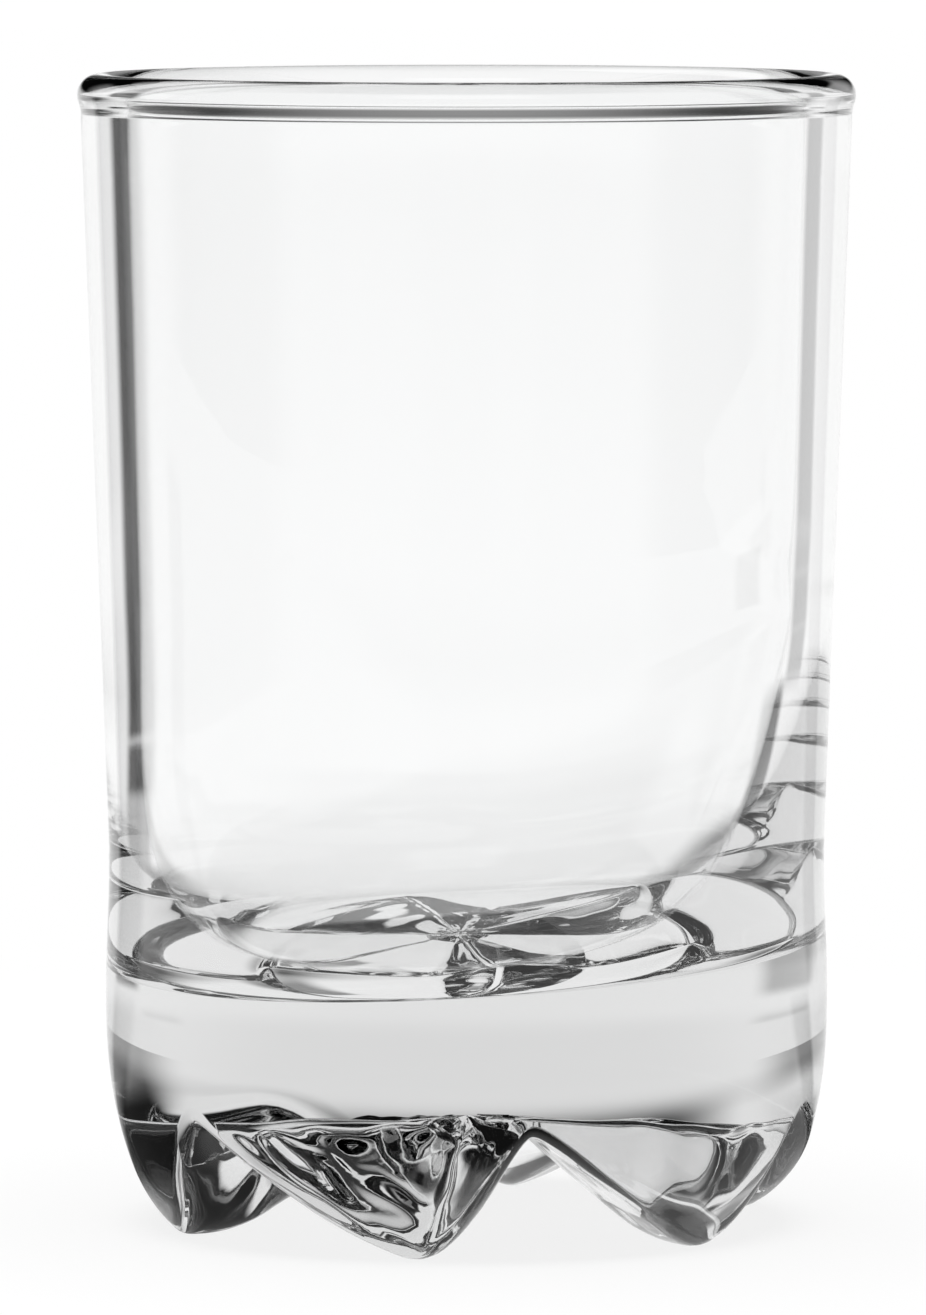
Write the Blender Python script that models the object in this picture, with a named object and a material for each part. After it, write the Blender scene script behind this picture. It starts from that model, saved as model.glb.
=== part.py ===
# A pressed rocks glass: one piece of clear glass with a beaded lip, a tapered wall,
# a thick bottom and six swirled feet. Units are metres, +Z is up, and the feet stand on Z = 0.
import math

import bmesh
import bpy

MM = 0.001

# Outer wall, from the lip down
HEIGHT = 115.5 * MM
LIP_RADIUS = 38.95 * MM  # over the bead
BEAD_RADIUS = 2.1 * MM  # of the bead's round outer half
BEAD_OVERHANG = 0.38 * MM  # the bead stands this far out from the wall
BEAD_BLEND = 0.7 * MM  # height of the soft corner where the wall meets the bead
WAIST_RADIUS = 36.0 * MM  # the slimmest place on the wall
WAIST_ABOVE_HIP = 16.2 * MM
HIP_RADIUS = 36.3 * MM  # the slight swell beside the thick bottom
HIP_ABOVE_NOTCH = 10.9 * MM

# Feet: a long flank, a short steep one, and a rounded notch between two feet
FOOT_COUNT = 6
FOOT_RADIUS = 30.8 * MM  # of the outer wall where it would reach the table
FOOT_FULLNESS = 2.5  # how late the outer wall turns in towards the table
NOTCH_HEIGHT = 12.4 * MM  # over the table, at the outer wall
STEEP_SHARE = 0.35  # of the way from one foot to the next
STEEP_POWER = 2.2  # over 1 gives a foot a broad, rounded tip
LONG_POWER = 1.35
CROWN_WIDTH = 0.8 * MM  # half-width of the rounding along the top of a notch
EDGE_ROUND = 1.7 * MM  # along the edge between the outer wall and the underside
STEEP_ROUND = 3.8 * MM  # the same edge halfway up the steep flank
LONG_ROUND = 2.4 * MM  # and halfway up the long one
PAD_CUT = 0.3 * MM  # the tips are flattened by this much

# Underside: the notches run to the middle, and the feet fade into ridges between them
HOLLOW_HEIGHT = 14.0 * MM  # the middle of the underside over the table
RIDGE_RADIUS = 25.3 * MM  # inside this the ridges climb to the middle
RIDGE_SOFTNESS = 2.2 * MM
MIDDLE_RADIUS = 3.0 * MM  # inside this the notches blend into one another

# Inside
WALL_AT_LIP = 4.6 * MM
WALL_AT_TURN = 4.0 * MM
BOTTOM_THICKNESS = 11.2 * MM  # of glass over the middle of the underside
FLOOR_RADIUS = 19.0 * MM
TURN_HEIGHT = 34.8 * MM  # the inside starts to round in this far over the floor
TURN_POWER = 3.4  # 2 gives an ellipse, more a squarer corner

# Facets
STEEP_COLUMNS = 6
LONG_COLUMNS = 10
UNDERSIDE_RINGS = 11
EDGE_RINGS = 5
FOOT_RINGS = 6
HIP_RINGS = 4
BEAD_STEPS = 12
TURN_RINGS = 10
FLOOR_RINGS = 3

# Heights and radii that follow from the sizes above
hip_height = NOTCH_HEIGHT + HIP_ABOVE_NOTCH
waist_height = hip_height + WAIST_ABOVE_HIP
bead_middle = HEIGHT - BEAD_RADIUS
bead_ring_radius = LIP_RADIUS - BEAD_RADIUS
neck_radius = LIP_RADIUS - BEAD_OVERHANG
neck_height = bead_middle - BEAD_RADIUS - BEAD_BLEND
wall_slope = (neck_radius - WAIST_RADIUS) / (neck_height - waist_height)
floor_height = HOLLOW_HEIGHT + BOTTOM_THICKNESS
turn_height = floor_height + TURN_HEIGHT
foot_pitch = 2 * math.pi / FOOT_COUNT
steep_angle = STEEP_SHARE * foot_pitch


def outer_radius(height):
    if height < hip_height:
        drop = (hip_height - height) / hip_height
        return HIP_RADIUS - (HIP_RADIUS - FOOT_RADIUS) * drop**FOOT_FULLNESS
    if height > waist_height:
        return WAIST_RADIUS + wall_slope * (height - waist_height)
    # A cubic leaves the hip upright and meets the wall at the wall's own slope.
    s = (height - hip_height) / WAIST_ABOVE_HIP
    swell = HIP_RADIUS * (2 * s**3 - 3 * s**2 + 1) + WAIST_RADIUS * (3 * s**2 - 2 * s**3)
    return swell + wall_slope * WAIST_ABOVE_HIP * (s**3 - s**2)


def notch_share(radius, phase):
    # 0 on a foot's ridge and 1 along the top of a notch; phase is the angle past the last ridge.
    crown = CROWN_WIDTH / math.hypot(radius, MIDDLE_RADIUS)
    past_notch = phase - steep_angle
    flank = steep_angle if past_notch < 0 else foot_pitch - steep_angle
    power = STEEP_POWER if past_notch < 0 else LONG_POWER
    fall = (math.hypot(past_notch, crown) - crown) / (math.hypot(flank, crown) - crown)
    return max(0.0, 1 - fall) ** power


def ridge_climb(radius):
    inward = RIDGE_RADIUS - radius
    return (inward + math.hypot(inward, RIDGE_SOFTNESS)) / 2


def underside_height(radius, phase):
    notch = HOLLOW_HEIGHT + (NOTCH_HEIGHT - HOLLOW_HEIGHT) * radius / HIP_RADIUS
    ridge = HOLLOW_HEIGHT * ridge_climb(radius) / ridge_climb(0)
    return ridge + (notch - ridge) * notch_share(radius, phase) - PAD_CUT


def foot_edge(phase):
    # The height where the underside meets the outer wall, found by halving.
    low = -NOTCH_HEIGHT
    high = hip_height
    for _ in range(50):
        middle = (low + high) / 2
        if middle < underside_height(outer_radius(middle), phase):
            low = middle
        else:
            high = middle
    return low


def edge_width(phase):
    # Widest halfway up a flank, and back to EDGE_ROUND on the ridge and in the notch.
    share = notch_share(HIP_RADIUS, phase)
    widest = STEEP_ROUND if phase < steep_angle else LONG_ROUND
    return EDGE_ROUND + (widest - EDGE_ROUND) * 4 * share * (1 - share)


def base_section(phase):
    edge_height = foot_edge(phase)
    width = edge_width(phase)
    edge = (outer_radius(edge_height), edge_height)
    inner = (edge[0] - width, underside_height(edge[0] - width, phase))
    outer = (outer_radius(edge_height + width), edge_height + width)
    points = []
    for k in range(1, UNDERSIDE_RINGS):
        radius = inner[0] * math.sin(math.pi / 2 * k / UNDERSIDE_RINGS)
        points.append((radius, underside_height(radius, phase)))
    for k in range(EDGE_RINGS + 1):
        t = k / EDGE_RINGS
        pull = ((1 - t) ** 2, 2 * t * (1 - t), t**2)
        radius = pull[0] * inner[0] + pull[1] * edge[0] + pull[2] * outer[0]
        height = pull[0] * inner[1] + pull[1] * edge[1] + pull[2] * outer[1]
        points.append((radius, height))
    for k in range(1, FOOT_RINGS):
        height = outer[1] + (hip_height - outer[1]) * k / FOOT_RINGS
        points.append((outer_radius(height), height))
    return [(radius, max(height, 0.0)) for radius, height in points]


def wall_section():
    heights = [hip_height + WAIST_ABOVE_HIP * k / HIP_RINGS for k in range(HIP_RINGS + 1)]
    return [(outer_radius(height), height) for height in heights + [neck_height]]


def inner_radius(height):
    turn_radius = outer_radius(turn_height) - WALL_AT_TURN
    lip_radius = neck_radius - WALL_AT_LIP
    return turn_radius + (lip_radius - turn_radius) * (height - turn_height) / (neck_height - turn_height)


def lip_section():
    # Over the bead: a round outer half, and an inner half as wide as the wall leaves.
    start = -math.acos(max(-1.0, 1 - BEAD_OVERHANG / BEAD_RADIUS))
    inner_half = bead_ring_radius - inner_radius(bead_middle)
    points = []
    for k in range(BEAD_STEPS + 1):
        angle = start + (math.pi - start) * k / BEAD_STEPS
        reach = BEAD_RADIUS if angle < math.pi / 2 else inner_half
        radius = bead_ring_radius + reach * math.cos(angle)
        points.append((radius, bead_middle + BEAD_RADIUS * math.sin(angle)))
    return points


def cavity_section():
    turn_radius = inner_radius(turn_height)
    points = []
    for k in range(TURN_RINGS + 1):
        angle = math.pi / 2 * k / TURN_RINGS
        outward = max(0.0, math.cos(angle)) ** (2 / TURN_POWER)
        down = math.sin(angle) ** (2 / TURN_POWER)
        radius = FLOOR_RADIUS + (turn_radius - FLOOR_RADIUS) * outward
        points.append((radius, turn_height - TURN_HEIGHT * down))
    for k in range(1, FLOOR_RINGS):
        points.append((FLOOR_RADIUS * (1 - k / FLOOR_RINGS), floor_height))
    return points


def column_phases():
    # Columns crowd towards the ridges and the notches, where the underside turns.
    steep = [steep_angle * (1 - math.cos(math.pi * k / STEEP_COLUMNS)) / 2 for k in range(STEEP_COLUMNS)]
    long_flank = foot_pitch - steep_angle
    gentle = [long_flank * (1 - math.cos(math.pi * k / LONG_COLUMNS)) / 2 for k in range(LONG_COLUMNS)]
    return steep + [steep_angle + angle for angle in gentle]


def glass_material():
    material = bpy.data.materials.new("clear_glass")
    material.use_nodes = True
    shader = material.node_tree.nodes["Principled BSDF"]
    shader.inputs["Base Color"].default_value = (0.96, 0.98, 0.98, 1.0)
    shader.inputs["Roughness"].default_value = 0.02
    shader.inputs["Metallic"].default_value = 0.0
    shader.inputs["IOR"].default_value = 1.52
    shader.inputs["Transmission Weight"].default_value = 1.0
    return material


def build_tumbler():
    mesh = bpy.data.meshes.new("tumbler")
    loft = bmesh.new()
    upper = wall_section() + lip_section() + cavity_section()
    # One notch lies on -Y, and the opposite one on +Y.
    first_ridge = -math.pi / 2 - steep_angle
    columns = []
    for foot in range(FOOT_COUNT):
        for phase in column_phases():
            angle = first_ridge + foot * foot_pitch + phase
            across = math.cos(angle)
            along = math.sin(angle)
            section = base_section(phase) + upper
            columns.append([loft.verts.new((r * across, r * along, z)) for r, z in section])
    underside_middle = loft.verts.new((0, 0, HOLLOW_HEIGHT - PAD_CUT))
    floor_middle = loft.verts.new((0, 0, floor_height))
    for this, following in zip(columns, columns[1:] + columns[:1]):
        loft.faces.new((underside_middle, following[0], this[0]))
        for k in range(len(this) - 1):
            loft.faces.new((this[k], following[k], following[k + 1], this[k + 1]))
        loft.faces.new((this[-1], following[-1], floor_middle))
    bmesh.ops.recalc_face_normals(loft, faces=loft.faces)
    loft.to_mesh(mesh)
    loft.free()
    mesh.shade_smooth()
    mesh.set_sharp_from_angle(angle=math.radians(40))
    mesh.materials.append(glass_material())
    bpy.context.scene.collection.objects.link(bpy.data.objects.new("tumbler", mesh))


for leftover in list(bpy.data.objects):
    bpy.data.objects.remove(leftover, do_unlink=True)
build_tumbler()
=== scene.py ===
# A pressed rocks glass on a white table: the fine glass, its finish, the camera and the studio.
import math

import bpy
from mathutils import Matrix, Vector, noise


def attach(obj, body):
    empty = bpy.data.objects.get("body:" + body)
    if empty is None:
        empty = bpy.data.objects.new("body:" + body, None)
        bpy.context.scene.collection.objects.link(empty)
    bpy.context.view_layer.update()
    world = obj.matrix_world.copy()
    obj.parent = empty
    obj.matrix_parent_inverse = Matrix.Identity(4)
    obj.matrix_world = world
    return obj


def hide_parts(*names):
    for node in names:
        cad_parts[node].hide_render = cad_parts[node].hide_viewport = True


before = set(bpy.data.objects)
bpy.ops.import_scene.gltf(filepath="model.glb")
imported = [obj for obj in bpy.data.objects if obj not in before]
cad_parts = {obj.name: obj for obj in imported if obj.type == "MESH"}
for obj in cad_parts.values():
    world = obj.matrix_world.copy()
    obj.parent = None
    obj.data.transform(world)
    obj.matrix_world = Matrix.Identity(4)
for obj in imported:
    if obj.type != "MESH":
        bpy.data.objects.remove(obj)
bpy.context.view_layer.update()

mm = 0.001

# The glass, in millimetres: the same sizes as the solid it stands for
glass = {
    "height": 115.5,
    "lipRadius": 38.95,  # over the bead
    "beadRadius": 2.1,  # of the bead's round outer half
    "beadOverhang": 0.38,  # the bead stands this far out from the wall
    "beadBlend": 0.7,  # the straight wall ends this far under the bead
    "beadStart": 20.0,  # degrees below the bead's middle, where the soft corner under it ends
    "waistRadius": 36.0,  # the slimmest place on the wall
    "waistHeight": 39.5,
    "hipRadius": 36.3,  # the slight swell beside the thick bottom
    "hipHeight": 23.3,
    "footRadius": 30.8,  # of the outer wall where it would reach the table
    "footFullness": 2.5,  # how late the outer wall turns in towards the table
    "footCount": 6,
    "notchHeight": 12.4,  # over the table, at the outer wall
    "steepShare": 0.35,  # of the way from one foot to the next
    "steepPower": 2.2,  # over 1 gives a foot a broad, rounded tip
    "longPower": 1.35,
    "crownWidth": 0.8,  # half the width of the rounding along the top of a notch
    "edgeRound": 1.7,  # along the edge between the outer wall and the underside
    "steepRound": 3.8,  # the same edge halfway up the steep flank
    "longRound": 2.4,  # and halfway up the long one
    "padCut": 0.3,  # the tips are flattened by this much
    "hollowHeight": 14.0,  # the middle of the underside over the table
    "ridgeRadius": 25.3,  # inside this the ridges climb to the middle
    "ridgeSoftness": 2.2,
    "middleRadius": 3.0,  # inside this the notches blend into one another
    "wallAtLip": 4.6,
    "wallAtTurn": 4.0,
    "floorHeight": 25.2,
    "floorRadius": 19.0,
    "turnHeight": 60.0,  # where the inside starts to round in
    "turnPower": 3.4,  # 2 is an ellipse, more is squarer
}

# How finely it is made: rings along the half section, columns round the axis
rings = {
    "underside": 44,
    "edge": 12,
    "foot": 20,
    "hip": 10,
    "wall": 14,
    "blend": 8,
    "bead": 26,
    "inside": 12,
    "turn": 40,
    "floor": 12,
}
columnsPerFoot = {"steep": 24, "long": 36}
halvings = 50  # to find the edge of a foot
mergeGap = 0.001 * mm
poleRadius = 0.01 * mm  # points nearer the axis than this lie on it

# The plunger stood a little askew: the floor leans, and the inside rounds in higher on one side
skew = {
    "azimuth": -10.6,  # degrees, the side that is higher
    "slope": 0.06,  # of the floor
    "rise": 13.0,
    "top": 76.0,  # the inside is even above this height
}
risePeak = 27 / 4  # brings the highest value of share * (1 - share)**2 to 1

# Waves that the mould left on the underside
ripple = {
    "depth": 0.26,
    "length": 3.6,  # outwards from the axis
    "round": 4.0,  # more gives shorter waves round the axis
    "swell": 0.45,  # slower waves under the first
    "swellLength": 9.0,
    "swellRound": 1.6,
    "swellShift": 2.0,  # takes the slower waves from elsewhere in the noise
    "fadeHeight": 2.0,  # the waves die out below this, so the pads stay flat
}

# Sizes that follow from those above
neckRadius = glass["lipRadius"] - glass["beadOverhang"]
beadMiddle = glass["height"] - glass["beadRadius"]
beadRing = glass["lipRadius"] - glass["beadRadius"]
neckHeight = beadMiddle - glass["beadRadius"] - glass["beadBlend"]
hipRise = glass["waistHeight"] - glass["hipHeight"]
wallRise = neckHeight - glass["waistHeight"]
wallSlope = (neckRadius - glass["waistRadius"]) / wallRise
footPitch = 2 * math.pi / glass["footCount"]
steepAngle = glass["steepShare"] * footPitch


def outerRadius(height):
    if height < glass["hipHeight"]:
        drop = (glass["hipHeight"] - height) / glass["hipHeight"]
        turnIn = drop ** glass["footFullness"]
        return glass["hipRadius"] - (glass["hipRadius"] - glass["footRadius"]) * turnIn
    if height > glass["waistHeight"]:
        return glass["waistRadius"] + wallSlope * (height - glass["waistHeight"])
    # a cubic leaves the hip upright and meets the wall at the wall's own slope
    s = (height - glass["hipHeight"]) / hipRise
    toWaist = 3 * s**2 - 2 * s**3
    swell = glass["hipRadius"] * (1 - toWaist) + glass["waistRadius"] * toWaist
    return swell + wallSlope * hipRise * (s**3 - s**2)


def notchShare(radius, phase):  # 0 on a ridge, 1 along the top of a notch
    crown = glass["crownWidth"] / math.hypot(radius, glass["middleRadius"])
    pastNotch = phase - steepAngle
    flank = steepAngle if pastNotch < 0 else footPitch - steepAngle
    power = glass["steepPower"] if pastNotch < 0 else glass["longPower"]
    fall = (math.hypot(pastNotch, crown) - crown) / (math.hypot(flank, crown) - crown)
    return max(0.0, 1 - fall) ** power


def ridgeClimb(radius):
    inward = glass["ridgeRadius"] - radius
    return (inward + math.hypot(inward, glass["ridgeSoftness"])) / 2


def undersideHeight(radius, phase):
    notchDrop = glass["hollowHeight"] - glass["notchHeight"]
    notch = glass["hollowHeight"] - notchDrop * radius / glass["hipRadius"]
    ridge = glass["hollowHeight"] * ridgeClimb(radius) / ridgeClimb(0)
    return ridge + (notch - ridge) * notchShare(radius, phase) - glass["padCut"]


def footEdge(phase):  # where the underside meets the outer wall, found by halving
    low = -glass["notchHeight"]
    high = glass["hipHeight"]
    for _ in range(halvings):
        middle = (low + high) / 2
        if middle < undersideHeight(outerRadius(middle), phase):
            low = middle
        else:
            high = middle
    return low


def edgeWidth(phase):  # widest halfway up a flank
    share = notchShare(glass["hipRadius"], phase)
    widest = glass["steepRound"] if phase < steepAngle else glass["longRound"]
    return glass["edgeRound"] + (widest - glass["edgeRound"]) * 4 * share * (1 - share)


def bend(start, corner, end, t):  # a point along the curve that cuts a corner
    pull = ((1 - t) ** 2, 2 * t * (1 - t), t**2)
    return tuple(pull[0] * a + pull[1] * b + pull[2] * c for a, b, c in zip(start, corner, end))


def baseSection(phase):
    edgeHeight = footEdge(phase)
    edge = (outerRadius(edgeHeight), edgeHeight)
    width = edgeWidth(phase)
    inner = (edge[0] - width, undersideHeight(edge[0] - width, phase))
    outer = (outerRadius(edgeHeight + width), edgeHeight + width)
    points = []
    for k in range(rings["underside"]):
        radius = inner[0] * math.sin(math.pi / 2 * k / rings["underside"])
        points.append((radius, undersideHeight(radius, phase)))
    for k in range(rings["edge"] + 1):
        points.append(bend(inner, edge, outer, k / rings["edge"]))
    for k in range(1, rings["foot"]):
        height = outer[1] + (glass["hipHeight"] - outer[1]) * k / rings["foot"]
        points.append((outerRadius(height), height))
    return [(radius, max(height, 0.0)) for radius, height in points]


def wallSection():
    heights = [glass["hipHeight"] + hipRise * k / rings["hip"] for k in range(rings["hip"])]
    heights += [glass["waistHeight"] + wallRise * k / rings["wall"] for k in range(rings["wall"] + 1)]
    return [(outerRadius(height), height) for height in heights]


def innerRadius(height):
    turnRadius = outerRadius(glass["turnHeight"]) - glass["wallAtTurn"]
    lipRadius = neckRadius - glass["wallAtLip"]
    share = (height - glass["turnHeight"]) / (neckHeight - glass["turnHeight"])
    return turnRadius + (lipRadius - turnRadius) * share


def beadPoint(angle, reach):
    return (beadRing + reach * math.cos(angle), beadMiddle + glass["beadRadius"] * math.sin(angle))


def lipSection():  # a soft corner, the bead's round outer half, and an inner half as wide as the wall
    start = -math.radians(glass["beadStart"])
    innerHalf = beadRing - innerRadius(beadMiddle)
    first = beadPoint(start, glass["beadRadius"])
    corner = (neckRadius, first[1] - (first[0] - neckRadius) / math.tan(-start))
    foot = (neckRadius, 2 * corner[1] - first[1])
    points = [bend(foot, corner, first, k / rings["blend"]) for k in range(rings["blend"])]
    for k in range(rings["bead"] + 1):
        angle = start + (math.pi - start) * k / rings["bead"]
        reach = glass["beadRadius"] if angle < math.pi / 2 else innerHalf
        points.append(beadPoint(angle, reach))
    return points


def cavitySection():
    rise = neckHeight - glass["turnHeight"]
    heights = [neckHeight - rise * k / rings["inside"] for k in range(rings["inside"])]
    points = [(innerRadius(height), height) for height in heights]
    turnRadius = innerRadius(glass["turnHeight"])
    drop = glass["turnHeight"] - glass["floorHeight"]
    for k in range(rings["turn"] + 1):
        angle = math.pi / 2 * k / rings["turn"]
        outward = max(0.0, math.cos(angle)) ** (2 / glass["turnPower"])
        down = math.sin(angle) ** (2 / glass["turnPower"])
        radius = glass["floorRadius"] + (turnRadius - glass["floorRadius"]) * outward
        points.append((radius, glass["turnHeight"] - drop * down))
    for k in range(1, rings["floor"] + 1):
        points.append((glass["floorRadius"] * (1 - k / rings["floor"]), glass["floorHeight"]))
    return points


def drawSection(points):  # one vertex, extruded point by point into the half section
    bpy.ops.object.select_all(action="DESELECT")
    bpy.ops.mesh.primitive_plane_add(size=mm)
    bpy.ops.object.mode_set(mode="EDIT")
    bpy.ops.mesh.merge(type="CENTER")
    last = (0.0, 0.0)
    for k, point in enumerate(points):
        step = ((point[0] - last[0]) * mm, 0.0, (point[1] - last[1]) * mm)
        if k == 0:
            bpy.ops.transform.translate(value=step)
        else:
            bpy.ops.mesh.extrude_region_move(TRANSFORM_OT_translate={"value": step})
        last = point
    bpy.ops.object.mode_set(mode="OBJECT")
    return bpy.context.object


def easedSteps(span, count):  # they crowd towards both ends, where the underside turns
    return [span * (1 - math.cos(math.pi * k / count)) / 2 for k in range(count)]


def columnPhases():
    steep = easedSteps(steepAngle, columnsPerFoot["steep"])
    gentle = easedSteps(footPitch - steepAngle, columnsPerFoot["long"])
    return steep + [steepAngle + angle for angle in gentle]


def insideLean(radius, angle, height):  # how far the askew plunger lifts a point of the inside
    share = (height / mm - glass["floorHeight"]) / (skew["top"] - glass["floorHeight"])
    side = math.cos(angle - math.radians(skew["azimuth"]))
    lean = (1 - share) * skew["slope"] * radius * side
    rise = risePeak * share * (1 - share) ** 2 * skew["rise"] * mm
    return lean + rise * max(0.0, side) ** 2


def mouldWave(radius, angle, height):  # how far a wave lifts a point of the underside
    turns = ripple["round"] * Vector((math.cos(angle), math.sin(angle), 0.0))
    outwards = Vector((0.0, 0.0, radius / (ripple["length"] * mm)))
    wave = ripple["depth"] * noise.noise(turns + outwards)
    turns = ripple["swellRound"] * Vector((math.cos(angle), math.sin(angle), ripple["swellShift"]))
    outwards = Vector((0.0, 0.0, radius / (ripple["swellLength"] * mm)))
    wave += ripple["swell"] * noise.noise(turns + outwards)
    return min(1.0, height / (ripple["fadeHeight"] * mm)) * mm * wave


def pressFeet(piece, steps):  # moves each column to its place round the axis, its base into the feet
    phases = columnPhases()
    bases = [baseSection(phase) for phase in phases]
    baseRows = len(bases[0])
    insideFirst = baseRows + len(wallSection()) + len(lipSection())
    waveRows = rings["underside"] + rings["edge"] / 2
    firstRidge = -math.pi / 2 - steepAngle  # puts a notch on -Y
    ring = piece.data.attributes["ring"]
    for index, vertex in enumerate(piece.data.vertices):
        radius = math.hypot(vertex.co.x, vertex.co.y)
        if radius < poleRadius:
            continue
        row = ring.data[index].value
        column = round(math.atan2(vertex.co.y, vertex.co.x) / (2 * math.pi) * steps) % steps
        foot, k = divmod(column, len(phases))
        angle = firstRidge + foot * footPitch + phases[k]
        height = vertex.co.z
        if row < baseRows:
            radius, height = (value * mm for value in bases[k][row])
        vertex.co = (radius * math.cos(angle), radius * math.sin(angle), height)
        if row >= insideFirst and height < skew["top"] * mm:
            vertex.co.z += insideLean(radius, angle, height)
        if row < waveRows:
            vertex.co.z += mouldWave(radius, angle, height)


def turnGlass():
    section = baseSection(0.0) + wallSection() + lipSection() + cavitySection()
    piece = drawSection(section)
    ring = piece.data.attributes.new("ring", "INT", "POINT")
    for k in range(len(section)):
        ring.data[k].value = k
    bpy.ops.object.mode_set(mode="EDIT")
    bpy.ops.mesh.select_all(action="SELECT")
    steps = glass["footCount"] * (columnsPerFoot["steep"] + columnsPerFoot["long"])
    bpy.ops.mesh.spin(steps=steps, angle=2 * math.pi, center=(0, 0, 0), axis=(0, 0, 1))
    bpy.ops.mesh.select_all(action="SELECT")
    bpy.ops.mesh.remove_doubles(threshold=mergeGap)
    bpy.ops.object.mode_set(mode="OBJECT")
    pressFeet(piece, steps)
    bpy.ops.object.mode_set(mode="EDIT")
    bpy.ops.mesh.select_all(action="SELECT")
    bpy.ops.mesh.normals_make_consistent(inside=False)
    bpy.ops.object.mode_set(mode="OBJECT")
    bpy.ops.object.shade_smooth()
    piece.data.attributes.remove(piece.data.attributes["ring"])
    piece.name = "tumblerGlass"
    return piece


# Clear pressed glass: slow waves from the mould, a little darker where it is thick
glassFinish = {
    "tint": (0.995, 0.998, 0.998, 1.0),
    "ior": 1.52,
    "roughness": 0.0,
    "depth": 8.0,  # how fast thick glass darkens
    "depthColour": (0.5, 0.5, 0.5, 1.0),
    "waveSize": 60.0,  # more gives smaller waves
    "waveDetail": 1.0,
    "waveDepth": 0.012 * mm,
}


def clearGlass():
    material = bpy.data.materials.new("clearGlass")
    material.use_nodes = True
    tree = material.node_tree
    shader = tree.nodes["Principled BSDF"]
    shader.inputs["Base Color"].default_value = glassFinish["tint"]
    shader.inputs["Roughness"].default_value = glassFinish["roughness"]
    shader.inputs["IOR"].default_value = glassFinish["ior"]
    shader.inputs["Transmission Weight"].default_value = 1.0
    place = tree.nodes.new("ShaderNodeTexCoord")
    waves = tree.nodes.new("ShaderNodeTexNoise")
    waves.inputs["Scale"].default_value = glassFinish["waveSize"]
    waves.inputs["Detail"].default_value = glassFinish["waveDetail"]
    bump = tree.nodes.new("ShaderNodeBump")
    bump.inputs["Distance"].default_value = glassFinish["waveDepth"]
    tree.links.new(place.outputs["Object"], waves.inputs["Vector"])
    tree.links.new(waves.outputs["Fac"], bump.inputs["Height"])
    tree.links.new(bump.outputs["Normal"], shader.inputs["Normal"])
    body = tree.nodes.new("ShaderNodeVolumeAbsorption")
    body.inputs["Color"].default_value = glassFinish["depthColour"]
    body.inputs["Density"].default_value = glassFinish["depth"]
    tree.links.new(body.outputs["Volume"], tree.nodes["Material Output"].inputs["Volume"])
    return material


tumblerGlass = turnGlass()
tumblerGlass.data.materials.clear()
tumblerGlass.data.materials.append(clearGlass())
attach(tumblerGlass, "root")
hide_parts("tumbler")
print("glass turned and pressed:", len(tumblerGlass.data.vertices), "vertices")

# Camera: a long lens a metre off, a little above the lip
shot = {
    "azimuth": -10.6,  # degrees from straight in front, towards -X
    "distance": 1.0533,  # metres, as the height is
    "height": 0.14129,
    "pitch": 4.5815,  # degrees down
    "sensor": 36.0,  # millimetres, as the lens is
    "lens": 287.93,
    "shift": -0.0027,
    "nearest": 0.05,  # nothing closer shows
}


def placeCamera():
    data = bpy.data.cameras.new("shotCamera")
    data.sensor_width = shot["sensor"]
    data.lens = shot["lens"]
    data.shift_x = shot["shift"]
    data.clip_start = shot["nearest"]
    camera = bpy.data.objects.new("shotCamera", data)
    bpy.context.scene.collection.objects.link(camera)
    turn = math.radians(shot["azimuth"])
    camera.location.x = shot["distance"] * math.sin(turn)
    camera.location.y = -shot["distance"] * math.cos(turn)
    camera.location.z = shot["height"]
    camera.rotation_euler = (math.pi / 2 - math.radians(shot["pitch"]), 0, turn)
    bpy.context.scene.camera = camera


placeCamera()
print("camera placed")

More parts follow.
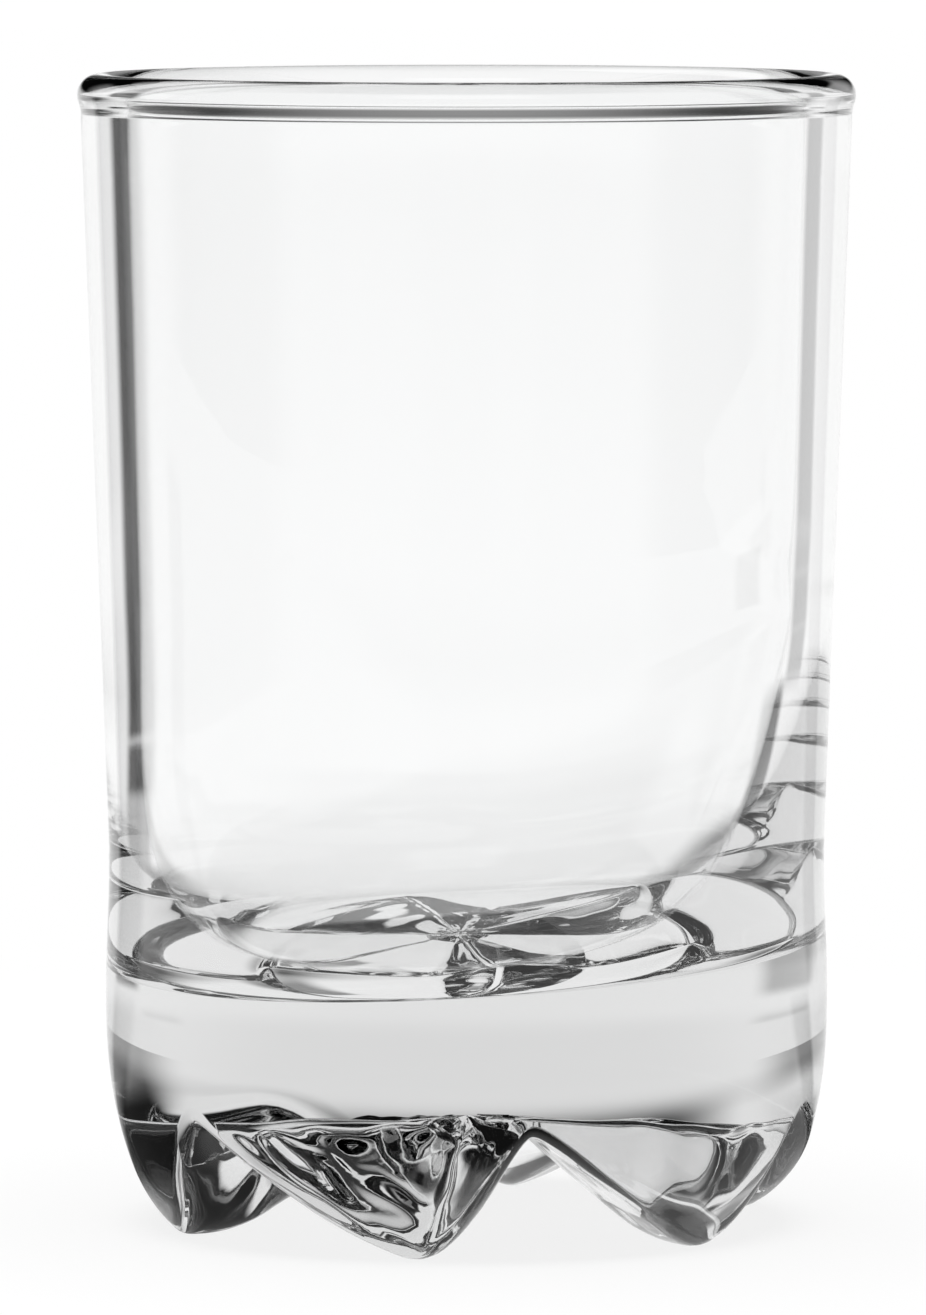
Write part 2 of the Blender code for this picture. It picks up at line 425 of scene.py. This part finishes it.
# Studio: a pale table in soft white light, with painted dark patches on it, seen only by the glass,
# that draw the edges of the glass as painted shade.
# Lengths are in metres and angles in degrees. An azimuth turns from +X towards +Y: the camera
# stands at 259.4, and 79.4 is straight behind the glass.
studio = {
    "floorRadius": 6.0,
    "floorSides": 96,
    "floorColour": (0.82, 0.82, 0.82, 1.0),
    "whites": [  # azimuth of the middle, half width, lowest, highest, brightness
        (80.4, 200.0, -20.0, 2.7, 0.4),  # a low strip all round
        (79.4, 48.0, -20.0, 3.5, 0.6),  # which is brighter behind
        (259.4, 70.0, -20.0, 2.7, 0.6),  # and in front
        (138.0, 27.0, 3.5, 22.0, 1.0),  # a panel behind on the left
        (47.5, 14.5, 3.5, 18.0, 1.0),  # and on the right
        (79.4, 3.0, 4.0, 15.0, 0.3),  # a faint one straight behind
        (106.0, 16.0, 30.0, 62.0, 1.0),  # a softbox over the far side
        (259.4, 25.0, 30.0, 55.0, 1.0),  # and one over the camera
    ],
    "whiteEdge": 2.0,  # half the softness of a white's top and bottom
    "whiteSide": 9.0,  # and of its sides
    "darkLevel": 0.005,  # between the whites
    "paintedDarks": [  # painted dark patches on the table, which only the glass sees: azimuth of the middle, half width, nearest, farthest, darkness, flattest sight
        (125.5, 10.5, 0.75, 9.0, 0.97, 1.6),  # behind on the left, in three lengths
        (125.5, 10.5, 0.3, 0.75, 0.97, 3.9),
        (125.5, 10.5, 0.07, 0.3, 0.5, 6.0),
        (38.5, 6.0, 0.75, 9.0, 0.5, 1.6),  # behind on the right
        (38.5, 6.0, 0.3, 0.75, 0.5, 3.9),
        (25.0, 7.0, 0.07, 0.3, 0.9, 6.0),
        (259.4, 75.0, 0.045, 0.26, 0.97, 1.6),  # in front
        (199.4, 15.0, 0.008, 0.033, 0.7, 1.6),  # painted shadow under the glass
        (160.0, 38.0, 0.035, 0.09, 0.95, 1.6),  # painted shadow close round the feet
        (14.0, 26.0, 0.042, 0.09, 0.95, 1.6),
        (228.0, 26.0, 0.035, 0.09, 0.95, 1.6),
    ],
    "paintedDarkSide": 1 / 3,  # softness of a painted dark patch's sides, as a share of its half width
    "paintedDarkEnd": 0.2,  # and of its ends, as a share of their distance
    "sightEdge": 0.08,  # and of its flattest sight
    "nearShadeStart": 0.03,  # painted shade on the table close to the glass, as the glass sees it
    "nearShadeEnd": 0.22,
    "nearShadeGlow": 0.95,  # how bright the glass sees the table there, under the painted shade
    "cameraWhite": 0.86,  # near the glass; the rest is the lit table, with the shadow
    "shadowStart": 0.1,
    "shadowEnd": 0.25,
    "lampPower": 12.0,
    "lampSize": 0.8,
    "lampHeight": 0.9,
    "bounces": 20,  # light turns back many times in thick glass, and is lost as black with fewer
}


class NodeDesk:  # adds nodes to one tree and wires them
    def __init__(self, tree):
        self.tree = tree

    def add(self, kind, **settings):
        node = self.tree.nodes.new(kind)
        for name, value in settings.items():
            setattr(node, name, value)
        return node

    def feed(self, socket, value):
        if isinstance(value, bpy.types.NodeSocket):
            self.tree.links.new(value, socket)
        elif value is not None:
            socket.default_value = value

    def reckon(self, operation, first, second=None, third=None):
        node = self.add("ShaderNodeMath", operation=operation)
        for socket, value in zip(node.inputs, (first, second, third)):
            self.feed(socket, value)
        return node.outputs[0]

    def fade(self, value, start, end):  # 1 below start, 0 above end
        node = self.add("ShaderNodeMapRange", interpolation_type="SMOOTHSTEP")
        self.feed(node.inputs["Value"], value)
        node.inputs["From Min"].default_value = start
        node.inputs["From Max"].default_value = end
        node.inputs["To Min"].default_value = 1.0
        node.inputs["To Max"].default_value = 0.0
        return node.outputs["Result"]

    def sector(self, azimuth, middle, half, edge):  # 1 within half a width of the middle, in degrees
        offset = self.reckon("SUBTRACT", azimuth, math.radians(middle))
        offset = self.reckon("WRAP", offset, math.pi, -math.pi)
        start, end = math.radians(half - edge), math.radians(half + edge)
        return self.fade(self.reckon("ABSOLUTE", offset), start, end)

    def between(self, value, low, high, lowEdge, highEdge):
        belowHigh = self.fade(value, high - highEdge, high + highEdge)
        belowLow = self.fade(value, low - lowEdge, low + lowEdge)
        return self.reckon("SUBTRACT", belowHigh, belowLow)


def lightWorld():
    world = bpy.data.worlds.new("studioWorld")
    world.use_nodes = True
    desk = NodeDesk(world.node_tree)
    axes = desk.add("ShaderNodeSeparateXYZ")
    desk.feed(axes.inputs[0], desk.add("ShaderNodeTexCoord").outputs["Generated"])
    azimuth = desk.reckon("ARCTAN2", axes.outputs["Y"], axes.outputs["X"])
    elevation = desk.reckon("ARCSINE", axes.outputs["Z"])
    edge = math.radians(studio["whiteEdge"])
    level = studio["darkLevel"]
    for middle, half, lowest, highest, brightness in studio["whites"]:
        across = desk.sector(azimuth, middle, half, min(half, studio["whiteSide"]))
        up = desk.between(elevation, math.radians(lowest), math.radians(highest), edge, edge)
        level = desk.reckon("MULTIPLY_ADD", desk.reckon("MULTIPLY", across, up), brightness, level)
    cameraRay = desk.add("ShaderNodeLightPath").outputs["Is Camera Ray"]
    background = world.node_tree.nodes["Background"]
    background.inputs["Color"].default_value = (1.0, 1.0, 1.0, 1.0)
    desk.feed(background.inputs["Strength"], desk.reckon("MAXIMUM", cameraRay, level))
    bpy.context.scene.world = world


# Painted shade on the table, seen only by the glass: 0 on a painted dark patch, 1 off all of them; a
# sight flatter than a patch's own limit passes over it
def paintedShade(desk, axes, away):
    azimuth = desk.reckon("ARCTAN2", axes.outputs["Y"], axes.outputs["X"])
    slant = desk.add("ShaderNodeLayerWeight").outputs["Facing"]
    level = 1.0
    for middle, half, nearest, farthest, darkness, flattest in studio["paintedDarks"]:
        across = desk.sector(azimuth, middle, half, half * studio["paintedDarkSide"])
        nearEdge = nearest * studio["paintedDarkEnd"]
        farEdge = farthest * studio["paintedDarkEnd"]
        along = desk.between(away, nearest, farthest, nearEdge, farEdge)
        flat = math.sin(math.radians(flattest))
        flatEdge = flat * studio["sightEdge"]
        steep = desk.fade(slant, 1 - flat - flatEdge, 1 - flat + flatEdge)
        cover = desk.reckon("MULTIPLY", steep, desk.reckon("MULTIPLY", across, along))
        level = desk.reckon("MULTIPLY", level, desk.reckon("MULTIPLY_ADD", cover, -darkness, 1.0))
    return level


def paleTable():
    material = bpy.data.materials.new("paleTable")
    material.use_nodes = True
    tree = material.node_tree
    tree.nodes.remove(tree.nodes["Principled BSDF"])
    desk = NodeDesk(tree)
    axes = desk.add("ShaderNodeSeparateXYZ")
    desk.feed(axes.inputs[0], desk.add("ShaderNodeTexCoord").outputs["Object"])
    square = desk.reckon("MULTIPLY", axes.outputs["Y"], axes.outputs["Y"])
    square = desk.reckon("MULTIPLY_ADD", axes.outputs["X"], axes.outputs["X"], square)
    away = desk.reckon("SQRT", square)
    # what the glass sees of the table: white, with painted shade near the glass and painted dark
    # patches
    nearShade = desk.fade(away, studio["nearShadeStart"], studio["nearShadeEnd"])
    tableLevel = desk.reckon("MULTIPLY_ADD", nearShade, studio["nearShadeGlow"] - 1, 1.0)
    # the painted dark patches and painted shadow, which the glass shows as its dark edges
    tableLevel = desk.reckon("MULTIPLY", tableLevel, paintedShade(desk, axes, away))
    # what the camera sees of it: white, and a little of the shadow near the glass
    rays = desk.add("ShaderNodeLightPath").outputs
    glassRay = desk.reckon("MAXIMUM", rays["Is Glossy Ray"], rays["Is Transmission Ray"])
    cameraRay = rays["Is Camera Ray"]
    nearGlass = desk.fade(away, studio["shadowStart"], studio["shadowEnd"])
    beyondShadow = desk.reckon("SUBTRACT", 1.0, nearGlass)
    whiteShare = desk.reckon("MAXIMUM", beyondShadow, studio["cameraWhite"])
    cameraGlow = desk.reckon("MULTIPLY", cameraRay, whiteShare)
    lit = desk.add("ShaderNodeBsdfDiffuse")
    lit.inputs["Color"].default_value = studio["floorColour"]
    white = desk.add("ShaderNodeEmission")
    desk.feed(white.inputs["Strength"], desk.reckon("MAXIMUM", cameraRay, tableLevel))
    mixed = desk.add("ShaderNodeMixShader")
    desk.feed(mixed.inputs[0], desk.reckon("ADD", cameraGlow, glassRay))
    desk.feed(mixed.inputs[1], lit.outputs[0])
    desk.feed(mixed.inputs[2], white.outputs[0])
    desk.feed(tree.nodes["Material Output"].inputs["Surface"], mixed.outputs[0])
    return material


def layFloor():
    bpy.ops.object.select_all(action="DESELECT")
    bpy.ops.mesh.primitive_circle_add(
        vertices=studio["floorSides"], radius=studio["floorRadius"], fill_type="NGON"
    )
    floor = bpy.context.object
    floor.name = "studioFloor"
    floor.data.materials.append(paleTable())


def hangLamp():  # lights the table, and the glass doesn't show it
    data = bpy.data.lights.new("softLamp", "AREA")
    data.shape = "DISK"
    data.size = studio["lampSize"]
    data.energy = studio["lampPower"]
    lamp = bpy.data.objects.new("softLamp", data)
    bpy.context.scene.collection.objects.link(lamp)
    lamp.location = (0, 0, studio["lampHeight"])
    lamp.visible_glossy = False
    lamp.visible_transmission = False


lightWorld()
layFloor()
hangLamp()
bpy.context.scene.view_settings.view_transform = "Standard"
bpy.context.scene.cycles.max_bounces = studio["bounces"]
bpy.context.scene.cycles.transmission_bounces = studio["bounces"]
bpy.context.scene.cycles.glossy_bounces = studio["bounces"]
print("studio lit")
